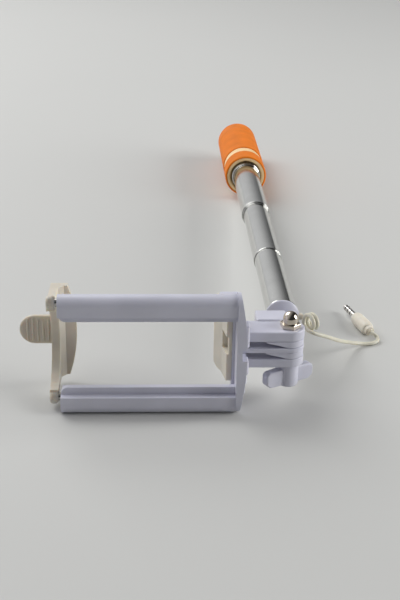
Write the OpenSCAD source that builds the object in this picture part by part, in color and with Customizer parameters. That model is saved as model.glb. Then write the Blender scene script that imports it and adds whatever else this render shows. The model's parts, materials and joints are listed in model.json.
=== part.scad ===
// Extendable selfie stick: a five-section telescopic tube with a foam-gripped
// handle and shutter button, a tilting neck with a curly lead and jack plug,
// and a sprung phone clamp on two rods.
//
// The stick lies on a table: its handle's rear edge and the clamp's lower bar
// touch the table. Pieces are drawn about the hinge bolt, with +X along the
// bars towards the hinge, +Y along the stick towards the handle and +Z up,
// and place() then leans the stick and moves it over the origin.

/* [Phone clamp] */
// Length of the two bars between the jaws
bar_length = 85; // [75:1:105]
// Depth of a bar from its front face to its back
bar_depth = 14; // [13:0.5:16]
// Radius of the rounded outer side of a bar
bar_round = 5.1; // [4.6:0.1:6]
// Distance from the hinge bolt to the bars' near ends
hinge_reach = 27; // [26:0.5:34]
// Height of the bars' front faces in front of the hinge bolt
bar_forward = 16; // [15:0.5:18]
// Distance of each rod's axis from the middle of the clamp
rod_spread = 25.3; // [24:0.1:34]
// Diameter of the two sliding rods
rod_d = 4; // [3:0.1:4.4]
// Bore of the bars, which holds the springs and the rods' heads
bar_bore = 6.2; // [5.8:0.1:6.6]
// How far the jaw pulls out
jaw_travel = 27; // [10:1:30]
// Depth from the bars' backs to the outer face of the jaws' lips
jaw_depth = 21; // [18:0.5:24]
// How far the sliding jaw's ends lie inside the rods' axes
jaw_inset = 0.7; // [0:0.1:3]
// How far the fixed jaw's ends lie inside the rods' axes
fixed_inset = 6; // [4.5:0.1:8]
// Length of the pull tab
tab_length = 16.5; // [12:0.5:20]
// Height of the pull tab
tab_height = 15.5; // [10:0.5:20]

/* [Hinge] */
// Diameter of the hinge bolt
bolt_d = 5; // [4:0.1:6]
// Radius of the rounded ends of the hinge plates
plate_r = 7.2; // [6.5:0.1:7.5]
// Thickness of the top plate
plate_top_t = 5.2; // [4.5:0.1:6]
// Thickness of the middle plate
plate_mid_t = 2.4; // [2:0.1:3]
// Thickness of the bottom plate
plate_low_t = 4.4; // [3.5:0.1:5]
// Thickness of each of the neck's two fingers
finger_t = 3.3; // [2.8:0.1:3.6]
// Width across the flats of the dome nut
nut_af = 9.2; // [8:0.1:10]
// Diameter of the wing knob's hub
knob_d = 10.3; // [9:0.1:12]
// Height of the wing knob's hub
knob_h = 12.1; // [11:0.1:13.5]
// Span of the wing knob
wing_span = 28; // [22:1:32]

/* [Telescopic tube] */
// Outer radius of the thinnest tube
tube_r = 7.75; // [7:0.05:8]
// Wall of each tube
tube_wall = 0.3; // [0.25:0.05:0.35]
// Radial gap between one tube and the next
tube_gap = 0.2; // [0.15:0.01:0.25]
// Distance from the hinge bolt to the front of the neck's disc
neck_y = 31; // [29:0.5:36]
// Length of the first tube that shows
show_c = 78; // [72:1:90]
// Length of the second tube that shows
show_b = 80; // [78:1:90]
// Length of the fourth tube that shows
show_a = 86; // [84:1:92]
// Length of tube that stays inside the next one
engaged = 12; // [10:1:14]

/* [Handle] */
// Length of the handle
handle_length = 97.5; // [97:0.5:120]
// Outer diameter of the grip
grip_d = 30; // [30:0.5:36]
// Thickness of the grip's foam
grip_t = 2; // [1.8:0.1:2]
// Length of the front grip ring
ring_length = 15; // [10:0.5:18]
// Width of the groove behind the ring
groove_width = 10; // [4:0.5:12]
// Length of the rear cap
cap_length = 16; // [12:0.5:18]
// Diameter of the shutter button
button_d = 8; // [6:0.5:9]
// Travel of the shutter button
button_travel = 0.5; // [0.3:0.05:0.6]

/* [Cord] */
// Diameter of the cord
cord_d = 2.1; // [1.8:0.1:2.4]
// Outer diameter of its curl
coil_d = 9.6; // [9:0.1:10]
// Diameter of the plug's body
plug_d = 7.7; // [7:0.1:8.5]
// Length of the plug's body
plug_length = 16.6; // [14:0.2:24]
// Diameter of the plug's pin
pin_d = 3.5; // [3.5:0.1:3.5]
// Length of the plug's pin
pin_length = 14; // [14:0.1:14]

/* [Fits] */
// Radial clearance of a part that runs in its bore
run = 0.05; // [0.02:0.01:0.09]
// Gap between faces that pass each other
pass = 0.1; // [0.05:0.01:0.2]
// Gap between soft or curved faces of separate parts
apart = 0.3; // [0.2:0.05:0.5]

/* [Hidden] */
$fn = 64;
// Clamp
bar_r = -hinge_reach;
bar_l = bar_r - bar_length;
bar_y0 = -bar_forward;
bar_y1 = bar_y0 + bar_depth;
bar_cy = bar_y0 + bar_round;
bar_cz = rod_spread + 0.7;
bar_top = bar_cz + bar_round;
bar_in = rod_spread - 4;
bar_skin = 1.4;
rod_y = bar_y1 - 4.6;
back_slope = 25;
lip_y0 = bar_y0 + 4;
lip_t = 3;
lip_h = 3.8;
end_wall = 1.2;
bush_l = 4;
head_l = 3;
head_d = bar_bore - 4 * run;
jaw_l = bar_l - 5.8;
jaw_half_h = rod_spread - jaw_inset;
fixed_half_h = rod_spread - fixed_inset;
jaw_wall = 4.2;
lip_back = bar_y1 + jaw_depth;
jaw_lip_t = 2.5;
jaw_reach = 12.3;
boss_r = 3.5;
saddle_y = lip_back - 7;
saddle_h = rod_spread - 4.3;
saddle_r = ((saddle_y - rod_y) * (saddle_y - rod_y) + saddle_h * saddle_h) / (2 * (saddle_y - rod_y));
tab_x = jaw_l - tab_length;
fix_x = bar_r - 1.4;
// How far the bracket stands out round the upper bar, and stays above the lower bar's underside
rim_out = 0.9;
rim_down = 0.4;
// The bracket's flange behind the bars: its thickness, its reach and its top, below the bars' tops
flange_y = 5.5;
flange_x = 8;
flange_drop = 4.2;
spine_t = 1.6;
// The fixed jaw's screws, above and below the middle
jaw_screw_z = 12;
jaw_screw_y = bar_y1 + 3.5;
// Tab behind the top plate
tab_back = 18;
tab_left = 16;
tab_raise = 0.8;
// Hinge stack, from the top down
gap_t = finger_t + 2 * pass;
stack = plate_top_t + plate_mid_t + plate_low_t + 2 * gap_t;
z_top = stack / 2;
z_f1 = z_top - plate_top_t;
z_mid = z_f1 - gap_t;
z_f2 = z_mid - plate_mid_t;
z_low = z_f2 - gap_t;
z_bot = z_low - plate_low_t;
fork_x = bar_r + 5;
finger_y = 17;
stem_w = 13;
nut_h = 2.2;
nut_neck = 2.1;
dome_d = nut_af - 1.2;
// Tubes: radii step up by a wall and a gap
step = tube_wall + tube_gap;
r_c = tube_r;
r_b = r_c + step;
r_m = r_b + step;
r_a = r_m + step;
r_o = r_a + step;
disc_t = 2.5;
disc_r = r_c + 1.45;
disc_bulge = 3;
lip_len = 2;
y_c = neck_y + disc_t;
y_b = neck_y + disc_t + show_c;
y_a = y_b + show_b + 2;
y_m = y_a - 2;
y_h = y_a + show_a;
end_c = y_b + engaged;
end_b = y_m + engaged;
end_a = y_h + engaged;
end_m = end_a - engaged;
y_o = y_h - 2;
y_end = y_h + handle_length;
end_o = y_end - cap_length - 1;
shim_t = tube_gap - run;
shim_l = 6;
// Handle
grip_r = grip_d / 2;
core_r = grip_r - grip_t;
flange_t = 1;
flange_r = grip_r - 1.4;
groove_depth = 0.8;
// Funnel round the tube at the handle's mouth
funnel_r = r_o + 1.5;
funnel_l = 4;
groove_y = y_h + flange_t + ring_length;
sleeve_y = groove_y + groove_width;
cap_y = y_end - cap_length;
button_y = sleeve_y + 14;
pocket_w = 10;
pocket_l = 44;
pocket_y = button_y - 8;
pocket_z = r_o + 0.15;
board_t = 0.6;
switch_t = 0.6;
// Distance of the button's inner face from the handle's axis, and the thickness of its rim
button_z = pocket_z + board_t + switch_t + button_travel + run;
button_rim = 0.4;
// How far the board's screws lie inside the ends of its pocket
screw_in = 2.4;
// How loosely a part is seated in another that holds it
seat = 0.02;
cable_r = 3;
// Lean of the stick, so that the lower bar and the handle's rear edge both touch the table
span_y = y_end - bar_cy;
span_z = bar_cz - grip_r;
lean = atan2(span_z, span_y) + asin(bar_round / norm([span_y, span_z]));
rest = bar_cz * cos(lean) + bar_cy * sin(lean) + bar_round;
front_y = bar_cy * cos(lean) - bar_cz * sin(lean) - bar_round;
back_y = y_end * cos(lean) + grip_r * sin(lean);
mid_y = (front_y + back_y) / 2;
mid_x = (tab_x + grip_r) / 2;
// Springs
spring_wire = 0.7;
spring_r = (bar_bore + rod_d) / 4;
spring_x0 = bar_l + end_wall + bush_l;
rod_end = bar_r - 3;
spring_x1 = rod_end - head_l;
// Curl of the cord: its near end, its axis and its length
coil_at = [11.3, 25.7, -0.45];
coil_turn = 26;
coil_l = 6.6;
gland_y = neck_y + 1.6;
gland_x = disc_r - 1.25;
gland_l = 2.6;
gland_r = 1.8;
// Short stretch of cord from the gland, behind the curl, to its far end
stub_route = [[10.6, 32.6, 0], [12.2, 32.8, -0.8], [13.6, 32.5, -2.2], [14.9, 31.2, -3.6],
    [15.8, 29.4, -4.2], [16.3, 28.1, -4.2]];
// The lead from the curl to the plug, measured from the table
lead_route = [[12.2, 25.4, 25.3], [12.9, 23.8, 25.4], [14.2, 22.4, 25.3], [16.3, 22.2, 24.5],
    [20, 24.2, 22.4], [25, 29, 18.6], [30.2, 35.2, 13.8], [35, 42, 9.2], [40, 48, 5.4],
    [45, 52, 2.6], [50, 54, 1.3], [54, 55, 1.1], [57, 57, 1.3], [57.6, 59.6, 2.2], [56, 61, 3.4],
    [54.4, 62.6, 3.85]];
plug_rear = [54.4, 62.6];
plug_yaw = 16;
cord_sides = 8;

// ---- Placing and plain shapes ----

module place() translate([-mid_x, -mid_y, rest]) rotate([-lean, 0, 0]) children();

module on_table() translate([-mid_x, -mid_y, 0]) children();

module cyl_x(r, x0, x1, y, z) translate([x0, y, z]) rotate([0, 90, 0]) cylinder(r = r, h = x1 - x0);

module cyl_y(r, y0, y1, x = 0, z = 0) translate([x, y0, z]) rotate([-90, 0, 0]) cylinder(r = r, h = y1 - y0);

module cyl_z(r, z0, z1, x = 0, y = 0) translate([x, y, z0]) cylinder(r = r, h = z1 - z0);

module ring_y(ro, ri, y0, y1) difference() {
    cyl_y(ro, y0, y1);
    cyl_y(ri, y0 - 1, y1 + 1);
}

module ring_x(ro, ri, x0, x1, y, z) difference() {
    cyl_x(ro, x0, x1, y, z);
    cyl_x(ri, x0 - 1, x1 + 1, y, z);
}

module block(low, high) translate(low) cube(high - low);

// An outline drawn as [y, z], drawn out along X
module along_x(x0, x1) translate([x0, 0, 0]) rotate([90, 0, 90]) linear_extrude(x1 - x0) children();

// An outline drawn as [x, z], drawn out along Y
module along_y(y0, y1) translate([0, y1, 0]) rotate([90, 0, 0]) linear_extrude(y1 - y0) children();

module lower() mirror([0, 0, 1]) children();

// ---- Swept tubes ----

function unit(v) = v / norm(v);
function heading(p, i) = unit(p[min(i + 1, len(p) - 1)] - p[max(i - 1, 0)]);
function ring_at(c, t, r, n, up) = let (u = unit(cross(t, up)), v = cross(t, u))
    [for (k = [0:n - 1]) c + r * (cos(360 * k / n) * u + sin(360 * k / n) * v)];

// A tube of radius r and n sides along the points p, none of whose stretches runs along "up"
module sweep(p, r, n, up) {
    rings = [for (i = [0:len(p) - 1]) each ring_at(p[i], heading(p, i), r, n, up)];
    last = (len(p) - 1) * n;
    walls = [for (i = [0:len(p) - 2], k = [0:n - 1]) let (a = i * n + k, b = i * n + (k + 1) % n)
        each [[a, a + n, b + n], [a, b + n, b]]];
    near_end = [for (k = [1:n - 2]) [0, k, k + 1]];
    far_end = [for (k = [1:n - 2]) [last, last + k + 1, last + k]];
    polyhedron(rings, concat(near_end, walls, far_end));
}

// Points of a smooth curve through the route's own points
function smooth(a, b, c, d, t) = 0.5 * (2 * b + (c - a) * t + (2 * a - 5 * b + 4 * c - d) * t * t
    + (3 * b - a - 3 * c + d) * t * t * t);
function curve(p, n) = [for (i = [0:len(p) - 2], k = [0:n - 1])
    smooth(p[max(i - 1, 0)], p[i], p[i + 1], p[min(i + 2, len(p) - 1)], k / n), p[len(p) - 1]];

// ---- Phone clamp ----

// A bar's section: rounded in front, sloping behind, with its front at y, its round's middle at z
module tunnel(y, z, r, low) {
    slope_y = y + r + r * sin(back_slope);
    slope_z = z + r * cos(back_slope);
    back_z = slope_z - (bar_y1 - slope_y) * tan(back_slope);
    intersection() {
        translate([y + r, z]) circle(r);
        translate([y - 1, z]) square([r * 3, r * 2]);
    }
    polygon([[y, low], [bar_y1, low], [bar_y1, back_z], [slope_y, slope_z], [y + r, z], [y, z]]);
}

module bar_section() tunnel(bar_y0, bar_cz, bar_round, bar_in);

// The hollow in front of the rod's bore
module bar_hollow(gap) {
    low = bar_in + bar_skin + gap;
    hollow_y0 = bar_y0 + bar_skin + gap;
    hollow_y1 = rod_y - bar_bore / 2 - bar_skin - gap;
    translate([hollow_y0, low]) square([hollow_y1 - hollow_y0, bar_cz + 1 - low]);
}

module bar_lip() along_y(lip_y0, lip_y0 + lip_t) {
    translate([bar_l + lip_h, bar_in - lip_h]) square([bar_length - lip_h, lip_h + 1]);
    intersection() {
        translate([bar_l + lip_h, bar_in]) circle(lip_h);
        translate([bar_l, bar_in - lip_h]) square(lip_h);
    }
}

module bar() difference() {
    union() {
        along_x(bar_l, bar_r) bar_section();
        bar_lip();
    }
    along_x(bar_l + bar_skin, bar_r + 1) bar_hollow(0);
    cyl_x(bar_bore / 2, bar_l + end_wall, bar_r + 1, rod_y, rod_spread);
    cyl_x(rod_d / 2 + apart, bar_l - 1, bar_r, rod_y, rod_spread);
}

module rod_bush() ring_x(bar_bore / 2, rod_d / 2 + run, bar_l + end_wall, spring_x0, rod_y, rod_spread);

module spring() {
    turns = 14;
    steps = 8;
    pitch = (spring_x1 - spring_x0 - 2 * apart - spring_wire) / turns;
    start = spring_x0 + apart + spring_wire / 2;
    sweep([for (i = [0:turns * steps]) [start + pitch * i / steps,
        rod_y + spring_r * cos(360 * i / steps), rod_spread + spring_r * sin(360 * i / steps)]],
        spring_wire / 2, 5, [1, 0, 0]);
}

module rod() difference() {
    union() {
        cyl_x(rod_d / 2, jaw_l + 1.6, rod_end - head_l, rod_y, rod_spread);
        cyl_x(head_d / 2, rod_end - head_l, rod_end, rod_y, rod_spread);
    }
    cyl_x(0.8, jaw_l, jaw_l + 6, rod_y, rod_spread);
}

module rod_screw() {
    cyl_x(1.6, jaw_l + 0.1, jaw_l + 1, rod_y, rod_spread);
    cyl_x(0.8, jaw_l + 1, jaw_l + 5.5, rod_y, rod_spread);
}

module jaw_plan() {
    wall_x = jaw_l + jaw_wall;
    lip_front = lip_back - jaw_lip_t;
    polygon([[jaw_l, rod_y - 1], [wall_x, rod_y - 1], [wall_x, lip_front - 4], [wall_x + 2.5, lip_front - 1],
        [jaw_l + jaw_reach, lip_front], [jaw_l + jaw_reach, lip_back], [jaw_l, lip_back]]);
}

module jaw_shell() difference() {
    intersection() {
        translate([0, 0, -jaw_half_h]) linear_extrude(2 * jaw_half_h) jaw_plan();
        bow = 4;
        bow_r = (jaw_half_h * jaw_half_h + bow * bow) / (2 * bow);
        translate([jaw_l + jaw_reach - bow_r, rod_y - 2, 0]) rotate([-90, 0, 0])
            cylinder(r = bow_r, h = lip_back - rod_y + 4, $fn = 128);
    }
    cyl_x(saddle_r, jaw_l - 1, jaw_l + jaw_reach + 1, saddle_y - saddle_r, 0);
}

module pull_tab() {
    along_y(lip_back - jaw_lip_t, lip_back) {
        translate([tab_x + tab_height / 2, -tab_height / 2]) square([tab_length, tab_height]);
        translate([tab_x + tab_height / 2, 0]) circle(tab_height / 2);
    }
    for (i = [0:3]) {
        block([tab_x + 4 + 2.6 * i, lip_back - jaw_lip_t - 0.4, -tab_height / 2 + 1.5],
            [tab_x + 5 + 2.6 * i, lip_back - 1, tab_height / 2 - 1.5]);
    }
}

module jaw_boss() cyl_x(boss_r, jaw_l, jaw_l + jaw_wall, rod_y, rod_spread);

module boss_bores() {
    cyl_x(rod_d / 2, jaw_l + 1.6, jaw_l + jaw_wall + 1, rod_y, rod_spread);
    cyl_x(1.7, jaw_l - 1, jaw_l + 1, rod_y, rod_spread);
    cyl_x(0.85, jaw_l, jaw_l + 2, rod_y, rod_spread);
}

module fixed_jaw_shape() difference() {
    intersection() {
        translate([0, 0, -fixed_half_h]) linear_extrude(2 * fixed_half_h)
            polygon([[fix_x, bar_y1], [fix_x - 2.7, bar_y1], [fix_x - 4.5, bar_y1 + 10],
                [fix_x - 7.9, lip_back - jaw_lip_t], [fix_x - 7.9, lip_back], [fix_x, lip_back]]);
        along_y(bar_y1 - 1, lip_back + 1)
            polygon([[fix_x, -fixed_half_h], [fix_x - 6.5, -fixed_half_h], [fix_x - 8, 1.5 - fixed_half_h],
                [fix_x - 8, fixed_half_h - 1.5], [fix_x - 6.5, fixed_half_h], [fix_x, fixed_half_h]]);
    }
    block([fix_x - 6, bar_y1 - 1, -4.65], [fix_x - 1.6, bar_y1 + 9, 4.65]);
    for (s = [-1, 1]) cyl_x(0.9, fix_x - 2.2, fix_x + 1, jaw_screw_y, s * jaw_screw_z);
}

module jaw_screw(z) {
    cyl_x(0.85, fix_x - 2, bar_r + spine_t, jaw_screw_y, z);
    cyl_x(1.8, bar_r + spine_t, bar_r + spine_t + 1, jaw_screw_y, z);
}

// ---- Hinge ----

module plate(z0, z1) translate([0, 0, z0]) linear_extrude(z1 - z0) {
    circle(plate_r);
    translate([bar_r + 1, -plate_r]) square([-bar_r - 1, 2 * plate_r]);
}

// The bracket from the front: straight beside the bars and bowed on its outer side
module bracket_outline() {
    bow = 3.4;
    half = bar_top + rim_out;
    bow_r = (half * half + bow * bow) / (2 * bow);
    intersection() {
        translate([fork_x - bow_r, 0]) circle(bow_r, $fn = 256);
        translate([bar_r, -half]) square([8, 2 * half]);
    }
}

// The bracket from the side: the bars' section, a rim larger
module bracket_section() {
    round_r = bar_round + rim_out;
    tunnel(bar_y0 - rim_out, bar_cz, round_r, 0);
    mirror([0, 1]) tunnel(bar_y0 - rim_out, bar_cz - rim_out - rim_down, round_r, 0);
}

module back_flange() block([bar_r - flange_x, bar_y1, fixed_half_h + apart],
    [bar_r + spine_t, bar_y1 + flange_y, bar_top - flange_drop]);

module hinge_bracket_shape() difference() {
    union() {
        intersection() {
            along_y(bar_y0 - 1, bar_y1) bracket_outline();
            along_x(bar_r - 1, fork_x + 1) bracket_section();
        }
        block([fix_x, bar_y1, flange_drop - bar_top],
            [bar_r + spine_t, bar_y1 + flange_y, bar_top - flange_drop]);
        back_flange();
        plate(z_f1, z_top);
        plate(z_f2, z_mid);
        plate(z_bot, z_low);
        block([-tab_left, plate_r - 1.2, z_f1], [-0.5, tab_back, z_top + tab_raise]);
        block([bar_r + 3, bar_y0, -9], [fork_x + 0.9, bar_y0 + 7, -2]);
        block([bar_r + 3, bar_y0, -14.2], [fork_x + 0.1, bar_y0 + 7, -9.6]);
        block([bar_r + 2, bar_y0, -19.6], [fork_x - 0.6, bar_y0 + 7, -14.8]);
        block([bar_r + 3, bar_y0, z_f1 + 1], [fork_x + 0.9, bar_y0 + 7, 20]);
        for (s = [0, 1]) mirror([0, 0, s]) along_x(bar_r - 6, bar_r + 1) bar_hollow(pass);
    }
    cyl_z(bolt_d / 2 + run, z_bot - 1, z_top + 1);
    for (s = [-1, 1]) cyl_x(0.85, fix_x - 1, bar_r + 3, jaw_screw_y, s * jaw_screw_z);
    block([bar_r + 2.6, bar_y0 - 1, -1.4], [0, -plate_r - 0.6, z_f1 + 0.4]);
}

module dome_nut_shape() difference() {
    union() {
        translate([0, 0, z_top]) cylinder(r = nut_af / 2 / cos(30), h = nut_h, $fn = 6);
        cyl_z(dome_d / 2, z_top, z_top + nut_h + nut_neck);
        translate([0, 0, z_top + nut_h + nut_neck]) sphere(dome_d / 2);
    }
    cyl_z(bolt_d / 2 + run, z_top - 1, z_top + nut_h + nut_neck + pass);
}

module wing_knob_shape() difference() {
    top = z_bot - pass;
    base = top - knob_h;
    half = wing_span / 2;
    union() {
        cyl_z(knob_d / 2, base, top);
        rotate([0, 0, 29]) along_y(-2.5, 2.5)
            polygon([[-half, base + 2.6], [-half, top - 4.4], [1.4 - half, top - 3.2],
                [half - 1.4, top - 3.2], [half, top - 4.4], [half, base + 2.6],
                [half - 2.6, base + 0.6], [2.6 - half, base + 0.6]]);
    }
    cyl_z(bolt_d / 2, base + 5, top + 1);
    translate([0, 0, base + 1.8]) cylinder(r = 4.4, h = 3.4, $fn = 6);
}

module hinge_bolt_shape() {
    base = z_bot - pass - knob_h;
    cyl_z(bolt_d / 2, base + 5, z_top + nut_h + nut_neck);
    translate([0, 0, base + 1.8]) cylinder(r = 4.4, h = 3.4, $fn = 6);
}

module finger(z0, z1) translate([0, 0, z0]) linear_extrude(z1 - z0) {
    circle(plate_r - 0.2);
    translate([-stem_w / 2, 0]) square([stem_w, finger_y + 1]);
}

// The domed front of the neck's disc
module neck_dome() intersection() {
    dome_r = (disc_r * disc_r + disc_bulge * disc_bulge) / (2 * disc_bulge);
    translate([0, neck_y + 1 - disc_bulge + dome_r, 0]) sphere(dome_r);
    cyl_y(disc_r, neck_y - disc_bulge, neck_y + 1);
}

module neck_block_shape() difference() {
    union() {
        finger(z_mid + pass, z_f1 - pass);
        finger(z_low + pass, z_f2 - pass);
        block([-stem_w / 2, finger_y, z_low + pass], [stem_w / 2, neck_y + 1, z_f1 - pass]);
        cyl_y(disc_r, neck_y + 1, y_c);
        neck_dome();
        cyl_y(r_c - tube_wall - seat, y_c - 1, y_c + 13);
    }
    cyl_z(bolt_d / 2 + run, z_low - 1, z_top);
    cyl_y(1.5, gland_y - 1.1, y_c + 14);
    cyl_x(1.1, 0, disc_r + 1, gland_y, 0);
    block([gland_x, neck_y - disc_bulge, -gland_r - pass], [disc_r + 1, y_c + 1, gland_r + pass]);
}

// ---- Telescopic tubes ----

// A tube with a turned-in lip at its front, which keeps the next tube's shim inside
module tube(r, y0, y1) {
    ring_y(r, r - tube_wall, y0, y1);
    ring_y(r - tube_wall / 2, r - tube_wall - tube_gap + run, y0, y0 + lip_len);
}

module shim(r, y1) ring_y(r + shim_t, r, y1 - shim_l, y1);

// ---- Handle ----

module button_bore(r, z0, z1) cyl_z(r, z0, z1, 0, button_y);

module handle_core_shape() difference() {
    union() {
        cyl_y(core_r, y_h, y_end - cap_length + 5);
        cyl_y(flange_r, y_h, y_h + flange_t);
        cyl_y(grip_r - groove_depth, groove_y, sleeve_y);
    }
    translate([0, y_h, 0]) rotate([-90, 0, 0]) cylinder(r1 = funnel_r, r2 = r_o + seat, h = funnel_l);
    cyl_y(r_o + seat, y_h - 1, end_o);
    cyl_y(5 + seat, end_o - 1, y_end);
    block([-pocket_w / 2, pocket_y, -core_r - 1], [pocket_w / 2, pocket_y + pocket_l, -pocket_z]);
    block([-1, pocket_y + pocket_l - 1, -pocket_z - board_t - 1.7], [1, y_end, -pocket_z - board_t]);
}

module board_z(z0, z1, w, y0, y1) block([-w / 2, y0, -pocket_z - z1], [w / 2, y1, -pocket_z - z0]);

// ---- Cord and plug ----

module coil_place() place() translate(coil_at) rotate([0, 0, coil_turn]) rotate([0, 90, 0]) children();

module plug_place() on_table() translate([plug_rear[0], plug_rear[1], plug_d / 2])
    rotate([0, 0, plug_yaw]) children();

module pin_slot(y0, r) ring_y(pin_d / 2, r, y0, y0 + 0.8);

pin_y = 3.4 + plug_length;
pin_core = 1.1;
slots = [pin_y + 4, pin_y + 7, pin_y + 10];

// ---- One module for each piece ----

module hinge_bracket() color("lavender") place() hinge_bracket_shape();

module upper_bar() color("lavender") place() bar();

module lower_bar() color("lavender") place() lower() bar();

module upper_rod_bush() color("khaki") place() rod_bush();

module lower_rod_bush() color("khaki") place() lower() rod_bush();

module upper_spring() color("silver") place() spring();

module lower_spring() color("silver") place() lower() spring();

module fixed_jaw() color("antiquewhite") place() fixed_jaw_shape();

module fixed_jaw_screws() color("silver") place() for (s = [-1, 1]) jaw_screw(s * jaw_screw_z);

module dome_nut() color("gainsboro") place() dome_nut_shape();

module sliding_jaw() color("antiquewhite") place() difference() {
    union() {
        jaw_shell();
        pull_tab();
        for (s = [0, 1]) mirror([0, 0, s]) jaw_boss();
    }
    for (s = [0, 1]) mirror([0, 0, s]) boss_bores();
}

module upper_rod() color("silver") place() rod();

module lower_rod() color("silver") place() lower() rod();

module rod_screws() color("silver") place() for (s = [0, 1]) mirror([0, 0, s]) rod_screw();

module wing_knob() color("lavender") place() wing_knob_shape();

module hinge_bolt() color("silver") place() hinge_bolt_shape();

module neck_block() color("lavender") place() neck_block_shape();

module tube_c() color("gainsboro") place() ring_y(r_c, r_c - tube_wall, y_c, end_c);

module tube_c_shim() color("white") place() shim(r_c, end_c);

module cord_gland() color("ivory") place()
    ring_x(gland_r, cord_d / 2 + run, gland_x, gland_x + gland_l, gland_y, 0);

module cord_stub() color("ivory") place() sweep(curve(stub_route, 3), cord_d / 2, cord_sides, [0, 0, 1]);

module cord_coil() color("ivory") coil_place() rotate_extrude() square([coil_d / 2, coil_l]);

module cord_lead() color("ivory") on_table() sweep(curve(lead_route, 3), cord_d / 2, cord_sides, [0, 0, 1]);

module plug_relief() color("ivory") plug_place() cyl_y(2.7, 0, 3.4);

module plug_body() color("ivory") plug_place() cyl_y(plug_d / 2, 3.4, pin_y);

module plug_pin() color("silver") plug_place() difference() {
    cyl_y(pin_d / 2, pin_y, pin_y + pin_length);
    for (y = slots) pin_slot(y, pin_core);
}

module plug_insulators() color("dimgray") plug_place() for (y = slots) pin_slot(y, pin_core);

module tube_b() color("gainsboro") place() tube(r_b, y_b, end_b);

module tube_b_shim() color("white") place() shim(r_b, end_b);

module tube_m() color("gainsboro") place() tube(r_m, y_m, end_m);

module tube_m_shim() color("white") place() shim(r_m, end_m);

module tube_a() color("gainsboro") place() tube(r_a, y_a, end_a);

module tube_a_shim() color("white") place() shim(r_a, end_a);

module tube_o() color("gainsboro") place() tube(r_o, y_o, end_o);

module handle_core() color("wheat") place() handle_core_shape();

module grip_ring() color("darkorange") place() difference() {
    ring_y(grip_r, core_r + seat, y_h, groove_y);
    cyl_y(flange_r + seat, y_h - 1, y_h + flange_t);
}

module grip_sleeve() color("darkorange") place() difference() {
    ring_y(grip_r, core_r + seat, sleeve_y, cap_y);
    button_bore(button_d / 2 + apart, -grip_r - 1, 0);
}

module end_cap() color("darkorange") place() difference() {
    cyl_y(grip_r, cap_y, y_end);
    cyl_y(core_r + seat, cap_y - 1, cap_y + 5);
    cyl_y(1.6, cap_y, y_end + 1);
    cyl_y(3.2, y_end - 1.5, y_end + 1);
}

module end_cap_screw() color("silver") place() {
    cyl_y(1.4, end_o + 3, y_end - 1.5);
    cyl_y(3, y_end - 1.5, y_end - 0.3);
}

module mouth_collar() color("silver") place() ring_y(r_o + 0.7, r_o + seat, y_h - 1, y_h + 1);

module circuit_board() color("seagreen") place()
    board_z(0, board_t, pocket_w - 1, pocket_y + 1, pocket_y + pocket_l - 1);

module tact_switch() color("black") place()
    board_z(board_t, board_t + switch_t, 4.5, button_y - 2.25, button_y + 2.25);

module board_screws() color("silver") place() for (y = [pocket_y + screw_in, pocket_y + pocket_l - screw_in])
    cyl_z(1.4, -pocket_z - board_t - 0.7, -pocket_z - board_t, 3, y);

module board_cable() color("ivory") place()
    cyl_y(0.7, pocket_y + pocket_l - 12, y_end - cap_length - 1, 0, -pocket_z - board_t - 0.7);

module cable_anchor() color("white") place() ring_y(5, 1.5, end_o, end_o + 3);

module inner_cable() color("ivory") place() ring_y(cable_r, 1.2, y_c + 13 + apart, end_o);

module shutter_button() color("white") place() {
    button_bore(button_d / 2, 0.5 - grip_r, -button_z);
    button_bore(button_d / 2 + 0.7, -button_z - button_rim, -button_z);
}

module button_dome() color("gray") place() difference() {
    button_bore(3.9, -button_z + 0.05, -pocket_z - board_t);
    button_bore(3.3, -button_z - 1, 0);
}

hinge_bracket();
upper_bar();
lower_bar();
upper_rod_bush();
lower_rod_bush();
upper_spring();
lower_spring();
fixed_jaw();
fixed_jaw_screws();
dome_nut();
sliding_jaw();
upper_rod();
lower_rod();
rod_screws();
wing_knob();
hinge_bolt();
neck_block();
tube_c();
tube_c_shim();
cord_gland();
cord_stub();
cord_coil();
cord_lead();
plug_relief();
plug_body();
plug_pin();
plug_insulators();
tube_b();
tube_b_shim();
tube_m();
tube_m_shim();
tube_a();
tube_a_shim();
tube_o();
handle_core();
grip_ring();
grip_sleeve();
end_cap();
end_cap_screw();
mouth_collar();
circuit_board();
tact_switch();
board_screws();
board_cable();
cable_anchor();
inner_cable();
shutter_button();
button_dome();
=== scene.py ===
"""The looks of a telescopic selfie stick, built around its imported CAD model.

Pieces are modelled in millimetres about the hinge bolt, with X along the clamp's bars, Y along the
stick towards the handle and Z up the bolt, and seat() then puts their meshes in the model's frame.
"""

import json
import math

import bpy
from bpy.props import FloatProperty, FloatVectorProperty, IntProperty, PointerProperty
from mathutils import Matrix, Vector


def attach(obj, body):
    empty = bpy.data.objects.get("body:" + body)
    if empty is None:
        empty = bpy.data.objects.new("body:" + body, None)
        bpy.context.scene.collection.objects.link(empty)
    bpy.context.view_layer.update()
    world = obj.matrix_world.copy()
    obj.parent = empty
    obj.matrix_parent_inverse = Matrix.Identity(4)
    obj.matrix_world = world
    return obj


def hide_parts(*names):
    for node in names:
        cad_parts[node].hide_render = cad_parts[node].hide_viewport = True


bl_info = {
    "name": "Selfie stick",
    "version": (1, 0, 0),
    "blender": (4, 5, 0),
    "location": "View3D > Sidebar > Selfie stick",
    "description": "Builds a telescopic selfie stick with a sprung phone clamp and a curly lead",
    "category": "Add Mesh",
}

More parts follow.
